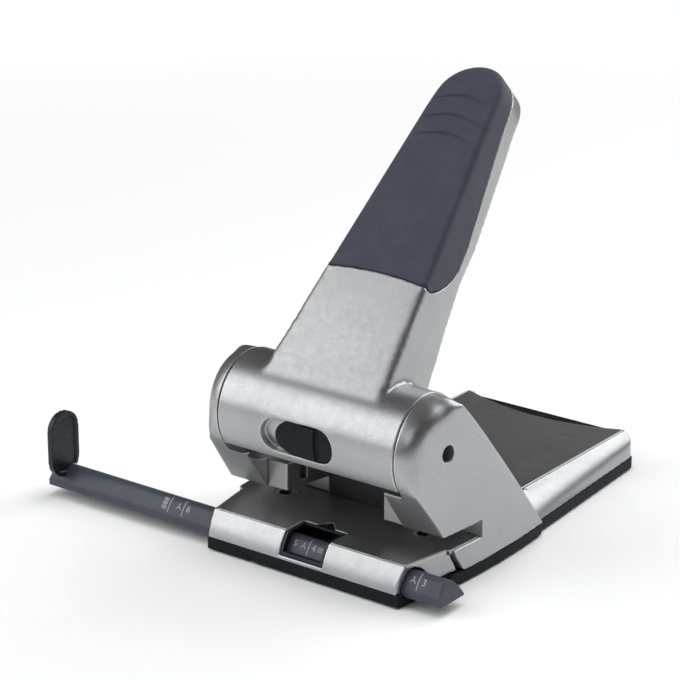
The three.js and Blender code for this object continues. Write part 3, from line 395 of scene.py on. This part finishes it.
class EvenMesh:
    """Points of an even mesh as arrays, with each point's neighbours, for smoothing."""

    def __init__(self, mesh):
        self.mesh = mesh
        self.count = len(mesh.vertices)
        points = np.empty(self.count * 3)
        mesh.vertices.foreach_get("co", points)
        self.points = points.reshape(-1, 3)
        ends = np.empty(len(mesh.edges) * 2, dtype=np.int32)
        mesh.edges.foreach_get("vertices", ends)
        self.a, self.b = ends.reshape(-1, 2).T
        self.degree = np.bincount(ends, minlength=self.count)

    def mean(self, values):
        total = np.bincount(self.a, values[self.b], self.count)
        return (total + np.bincount(self.b, values[self.a], self.count)) / self.degree

    def pull(self, share):
        for axis in range(3):
            here = self.points[:, axis]
            self.points[:, axis] = here + share * (self.mean(here) - here)

    def round_edges(self, rounds):
        for _ in range(rounds):
            self.pull(SHRINK)
            self.pull(SWELL)

    def soften_facets(self, rounds):
        """Evens out shallow facets and leaves the neighbourhood of sharper edges alone."""
        self.store()
        normals = np.empty(self.count * 3)
        self.mesh.vertices.foreach_get("normal", normals)
        normals = normals.reshape(-1, 3).copy()
        for _ in range(NORMAL_ROUNDS):
            for axis in range(3):
                normals[:, axis] = self.mean(normals[:, axis])
        keep = (np.linalg.norm(normals, axis=1) < SHARP_BELOW).astype(float)
        for _ in range(KEEP_ROUNDS):
            keep = np.maximum(keep, (self.mean(keep) > 0).astype(float))
        for _ in range(2 * KEEP_ROUNDS):
            keep = self.mean(keep)
        free = 1 - keep
        for _ in range(rounds):
            self.pull(SOFTEN * free)

    def store(self):
        self.mesh.vertices.foreach_set("co", self.points.ravel())
        self.mesh.update()

    def mark_edges(self, spacing):
        """Keeps how strongly each point's surroundings bulge, for the colour of outer edges: partly wear and
        partly a painted highlight, and on the grip a painted shade.
        """
        normals = np.empty(self.count * 3)
        self.mesh.vertices.foreach_get("normal", normals)
        normals = normals.reshape(-1, 3)
        bulge = sum((self.points[:, i] - self.mean(self.points[:, i])) * normals[:, i] for i in range(3))
        for _ in range(EDGE_ROUNDS):
            bulge = self.mean(bulge)
        bulge *= 4 * EDGE_RADIUS / spacing ** 2
        self.mesh.attributes.new("bulge", "FLOAT", "POINT").data.foreach_set("value", bulge)


# Side view of the lever's arm, as shares of its length and of its top's height above the pivot
PIVOT_Z = 67.5 * MM
LEVER_ANGLE = math.radians(44.6)
ARM_LENGTH = 181.5 * MM
ARM_TOP = 24.9 * MM
ARM_ROOT_HALF = 34.3 * MM
ARM_TAPER = 0.1
UNDERSIDE = (
    (0.12, 0.16, 0.21, 0.32, 0.45, 0.55, 0.65, 0.82, 0.97),
    (-0.38, -0.28, -0.18, -0.06, 0.02, -0.04, 0, 0.08, 0.22),
)
SEAM = ((0.2, 0.465, 0.543, 0.715, 0.974), (0.4, 0.153, 0.153, 0.305, 0.542))
GROOVES = (0.767, 0.823, 0.879)
GROOVE_SHARE = 0.86
GROOVE_BOW = 4.0 * MM
GROOVE_REACH = 4.2 * MM
GROOVE_DEPTH = 1.15 * MM
GROOVE_EDGE = 0.45 * MM
GROOVE_SKIN = 1.3 * MM
GROOVE_MARGIN = 6.0 * MM
PAD_EDGE = 2.6 * MM
SKIRT_DROP = 2.3 * MM
SKIRT_SPAN = (0.12, 0.24)
TIP_FROM = 0.84
TIP_DROP = 1.2 * MM
TIP_STRETCH = 2.4 * MM
DOME_DROP = 3.8 * MM


def smooth_step(value, low, high):
    t = np.clip((value - low) / (high - low), 0, 1)
    return t * t * (3 - 2 * t)


def lever_frame(points):
    """Distance along the arm and height above the pivot's line, for points in the scene's frame."""
    y = points[:, 1]
    z = points[:, 2] - PIVOT_Z
    c = math.cos(LEVER_ANGLE)
    s = math.sin(LEVER_ANGLE)
    return y * c + z * s, z * c - y * s


def shift(points, along, rise):
    """Moves points along the arm and up its own height."""
    c = math.cos(LEVER_ANGLE)
    s = math.sin(LEVER_ANGLE)
    points[:, 1] += along * c - rise * s
    points[:, 2] += along * s + rise * c


def shape_arm(points):
    """Deepens the skirt and rounds off the free end, on shell and pad alike."""
    along, height = lever_frame(points)
    share = along / ARM_LENGTH
    seam = np.interp(share, *SEAM) * ARM_TOP
    under = np.interp(share, *UNDERSIDE) * ARM_TOP
    low = np.clip((seam - height) / (seam - under), 0, 1)
    side = np.clip((ARM_TOP - height) / (ARM_TOP - seam), 0, 1)
    end = np.clip((share - TIP_FROM) / (1 - TIP_FROM), 0, 1)
    drop = SKIRT_DROP * low * smooth_step(share, *SKIRT_SPAN)
    drop += (DOME_DROP + TIP_DROP * side) * end ** 2
    shift(points, TIP_STRETCH * end, -drop)


def shape_pad(points):
    """Three crescents across the pad: a crisp upper lip that runs out into a soft scoop."""
    along, height = lever_frame(points)
    depth = np.zeros(len(points))
    for share in GROOVES:
        station = share * ARM_LENGTH
        half = (ARM_ROOT_HALF - ARM_TAPER * station) * GROOVE_SHARE
        swell = np.clip(1 - (points[:, 0] / half) ** 2, 0, 1)
        lip = station + GROOVE_BOW * swell
        run = np.clip((lip - along) / (GROOVE_REACH * np.sqrt(swell) + TINY), 0, 1)
        scoop = GROOVE_DEPTH * np.sqrt(swell) * (1 - run) ** 2
        depth = np.maximum(depth, scoop * smooth_step(lip - along, -GROOVE_EDGE / 2, GROOVE_EDGE / 2))
    inside = np.abs(points[:, 0]) < ARM_ROOT_HALF - ARM_TAPER * along - PAD_EDGE
    inside &= along > GROOVES[0] * ARM_LENGTH - GROOVE_MARGIN
    inside &= along < GROOVES[-1] * ARM_LENGTH + GROOVE_MARGIN
    inside &= height > ARM_TOP - GROOVE_SKIN
    shift(points, 0, np.where(inside, ARM_TOP - height - depth, 0))
    shape_arm(points)


def cast(node, name, voxel, rounds, soft, shape=None):
    """A copy of a node's solid with soft cast edges, in an even mesh."""
    piece = copy_of(node)
    remesh = piece.modifiers.new("remesh", "REMESH")
    remesh.mode = "VOXEL"
    remesh.voxel_size = voxel
    remesh.use_smooth_shade = True
    piece = evaluated(piece)
    even = EvenMesh(piece.data)
    even.round_edges(rounds)
    if soft:
        even.soften_facets(soft)
    if shape:
        shape(even.points)
    even.store()
    even.mark_edges(voxel)
    return finished(piece, name, node)


# Castings, as node, piece, size of the mesh in mm, rounds of smoothing, rounds of softening and shaping
CASTINGS = [
    ("lever_shell", "lever_casting", 0.45, 10, 40, shape_arm),
    ("grip_pad", "grip", 0.35, 8, 30, shape_pad),
    ("cheek_right", "side_frame_right", 0.4, 8, 70),
    ("cheek_left", "side_frame_left", 0.4, 8, 70),
    ("base_shell", "base_cover", 0.4, 8, 60),
    ("lock_slider", "lock_button", 0.25, 6, 30),
    ("stop_flag", "flag", 0.3, 6, 40),
    ("guide_block_right", "pin_block_right", 0.35, 5, 0),
    ("guide_block_left", "pin_block_left", 0.35, 5, 0),
    ("index_frame", "window_frame", 0.25, 5, 0),
    ("guide_rail", "measuring_bar", 0.35, 6, 40),
    ("deck_plate", "deck", 0.35, 5, 0),
    ("base_tray", "tray", 0.45, 6, 0),
]
for cast_node, cast_name, cast_voxel, *cast_rest in CASTINGS:
    cast(cast_node, cast_name, cast_voxel * MM, *cast_rest)

for side in ("right", "left"):
    spring_node = "return_spring_" + side
    spring = copy_of(spring_node)
    spring.modifiers.new("round", "SUBSURF").levels = WIRE_ROUNDING
    spring = finished(evaluated(spring), "pin_spring_" + side, spring_node, MATERIALS["spring_wire"])
    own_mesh(spring)

# Printed marks on the rail; a line is its foot, head and width, and a letter its height
MARK_RISE = 0.05 * MM
MARK_SKY = 0.1
CAP_SHARE = 0.7
CURVE_STEPS = 4
LINE_STEPS = 10
RAIL_SLOPE = math.radians(46)
RAIL_MIDDLE = (3.4 * MM, 8.6 * MM)
SIZE_MARKS = ((-74.5 * MM, "6"), (0.0, "4"), (61.5 * MM, "3"))
LONG_LINE = (-4.4 * MM, 3.6 * MM, 0.38 * MM)
SHORT_LINE = (-1.6 * MM, 0.9 * MM, 0.26 * MM)
LETTER_ASIDE = 2.9 * MM
LETTER_RISE = -0.4 * MM
BIG_LETTER = 3.2 * MM
SMALL_LETTER = 2.8 * MM
SCALE_X = -83.0 * MM
SCALE_ASIDE = 2.6 * MM
TICKS = 7
TICK_START = 5.3 * MM
TICK_STEP = 0.8 * MM
STOP_LETTER_X = -7.6 * MM


class Printing:
    """Thin printed marks that lie on a piece, solid and raised by a hair."""

    def __init__(self, piece, origin, slope, body, slot, material):
        self.bm = bmesh.new()
        self.tree = BVHTree.FromObject(piece, bpy.context.evaluated_depsgraph_get())
        self.origin = Vector(origin)
        self.up = Vector((0, math.cos(slope), math.sin(slope)))
        self.out = Vector((0, -math.sin(slope), math.cos(slope)))
        self.body = body
        self.slot = slot
        self.material = material

    def lay(self, outline):
        """Lays a flat mesh, in metres along and up the slope, on the piece and thickens it."""
        flat = bmesh.new()
        flat.from_mesh(outline)
        bpy.data.meshes.remove(outline)
        bmesh.ops.triangulate(flat, faces=flat.faces[:])
        bmesh.ops.remove_doubles(flat, verts=flat.verts[:], dist=TINY)
        below = flat.verts[:]
        grown = bmesh.ops.extrude_face_region(flat, geom=flat.faces[:])
        above = {v for v in grown["geom"] if isinstance(v, bmesh.types.BMVert)}
        for vert in list(below) + list(above):
            start = self.origin + Vector((vert.co.x, 0, 0)) + self.up * vert.co.y + self.out * MARK_SKY
            hit, normal = self.tree.ray_cast(start, -self.out)[:2]
            vert.co = hit + normal * (MARK_RISE if vert in above else -MARK_RISE)
        bmesh.ops.recalc_face_normals(flat, faces=flat.faces[:])
        mesh = bpy.data.meshes.new("mark")
        flat.to_mesh(mesh)
        flat.free()
        self.bm.from_mesh(mesh)
        bpy.data.meshes.remove(mesh)

    def text(self, words, x, y, height, turn=0.0):
        curve = bpy.data.curves.new("words", "FONT")
        curve.body = words
        curve.size = height / CAP_SHARE
        curve.align_x = "CENTER"
        curve.align_y = "CENTER"
        curve.resolution_u = CURVE_STEPS
        holder = bpy.data.objects.new("words", curve)
        mesh = bpy.data.meshes.new_from_object(holder)
        mesh.transform(Matrix.Translation((x, y, 0)) @ Matrix.Rotation(turn, 4, "Z"))
        bpy.data.objects.remove(holder)
        bpy.data.curves.remove(curve)
        self.lay(mesh)

    def line(self, x, y0, y1, width):
        rows = [y0 + (y1 - y0) * i / LINE_STEPS for i in range(LINE_STEPS + 1)]
        points = [(x + side * width / 2, y, 0) for y in rows for side in (-1, 1)]
        faces = [(2 * i, 2 * i + 1, 2 * i + 3, 2 * i + 2) for i in range(LINE_STEPS)]
        mesh = bpy.data.meshes.new("line")
        mesh.from_pydata(points, [], faces)
        self.lay(mesh)

    def finish(self, name):
        mesh = bpy.data.meshes.new(name)
        self.bm.to_mesh(mesh)
        self.bm.free()
        mesh.materials.append(self.material)
        piece = bpy.data.objects.new(name, mesh)
        bpy.context.scene.collection.objects.link(piece)
        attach(piece, self.body)


rail_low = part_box("guide_rail")[0]
mark_origin = (0, rail_low[1] + RAIL_MIDDLE[0], rail_low[2] + RAIL_MIDDLE[1])
rail_piece = bpy.data.objects["measuring_bar"]
rail_paint = ("slate_plastic", MATERIALS["mark_paint"])
marks = Printing(rail_piece, mark_origin, RAIL_SLOPE, body_of("guide_rail"), *rail_paint)
for mark_x, number in SIZE_MARKS:
    marks.line(mark_x, *LONG_LINE)
    marks.text("A", mark_x - LETTER_ASIDE, LETTER_RISE, BIG_LETTER)
    marks.text(number, mark_x + LETTER_ASIDE, LETTER_RISE, BIG_LETTER)
marks.line(SCALE_X, *LONG_LINE)
marks.text("888", SCALE_X - SCALE_ASIDE, LETTER_RISE, SMALL_LETTER, math.radians(90))
for step in range(TICKS):
    marks.line(TICK_START + TICK_STEP * step, *SHORT_LINE)
marks.text("S", STOP_LETTER_X, LETTER_RISE, SMALL_LETTER)
marks.finish("rail_marks")

make_camera()

# Floor and lights
floor_mesh = bpy.data.meshes.new("floor")
floor_turns = ((-1, -1), (1, -1), (1, 1), (-1, 1))
floor_mesh.from_pydata([(x * FLOOR_HALF, y * FLOOR_HALF, 0) for x, y in floor_turns], [], [(0, 1, 2, 3)])
floor = bpy.data.objects.new("floor", floor_mesh)
bpy.context.scene.collection.objects.link(floor)
floor_shader = Shader("floor", roughness=FLOOR_ROUGHNESS)
floor_shader.color(floor_shader.mix(floor_shader.noise(FLOOR_GRAIN), *FLOOR_TONES))
reach = floor_shader.add("ShaderNodeVectorMath", operation="LENGTH")
floor_shader.link(floor_shader.coords, reach.inputs[0])
far_off = floor_shader.ranged(reach.outputs["Value"], 0, 1, FLOOR_NEAR, FLOOR_FAR)
seen = floor_shader.add("ShaderNodeMath", operation="MULTIPLY")
floor_shader.link(far_off, seen.inputs[0])
floor_shader.link(floor_shader.add("ShaderNodeLightPath").outputs["Is Camera Ray"], seen.inputs[1])
backdrop = floor_shader.add("ShaderNodeEmission")
blend = floor_shader.add("ShaderNodeMixShader")
floor_shader.link(seen.outputs["Value"], blend.inputs["Fac"])
floor_shader.link(floor_shader.bsdf.outputs["BSDF"], blend.inputs[1])
floor_shader.link(backdrop.outputs["Emission"], blend.inputs[2])
floor_shader.link(blend.outputs["Shader"], floor_shader.out.inputs["Surface"])
floor_mesh.materials.append(floor_shader.material)

world = bpy.data.worlds.new("world")
world.use_nodes = True
sky = world.node_tree
background = sky.nodes["Background"]
coords = sky.nodes.new("ShaderNodeTexCoord")
toward = sky.nodes.new("ShaderNodeVectorMath")
toward.operation = "DOT_PRODUCT"
toward.inputs[1].default_value = SKY_BRIGHT
glow = sky.nodes.new("ShaderNodeMapRange")
glow.interpolation_type = "SMOOTHSTEP"
glow.inputs["From Min"].default_value, glow.inputs["From Max"].default_value = GLOW_SPAN
glow.inputs["To Min"].default_value, glow.inputs["To Max"].default_value = GLOW_STRENGTH
sky.links.new(coords.outputs["Generated"], toward.inputs[0])
sky.links.new(toward.outputs["Value"], glow.inputs["Value"])
seen_sky = sky.nodes.new("ShaderNodeMath")
seen_sky.operation = "MAXIMUM"
sky.links.new(glow.outputs["Result"], seen_sky.inputs[0])
sky.links.new(sky.nodes.new("ShaderNodeLightPath").outputs["Is Camera Ray"], seen_sky.inputs[1])
sky.links.new(seen_sky.outputs["Value"], background.inputs["Strength"])
bpy.context.scene.world = world
for light in LIGHTS:
    area_light(*light)

bpy.context.scene.view_settings.view_transform = "Standard"
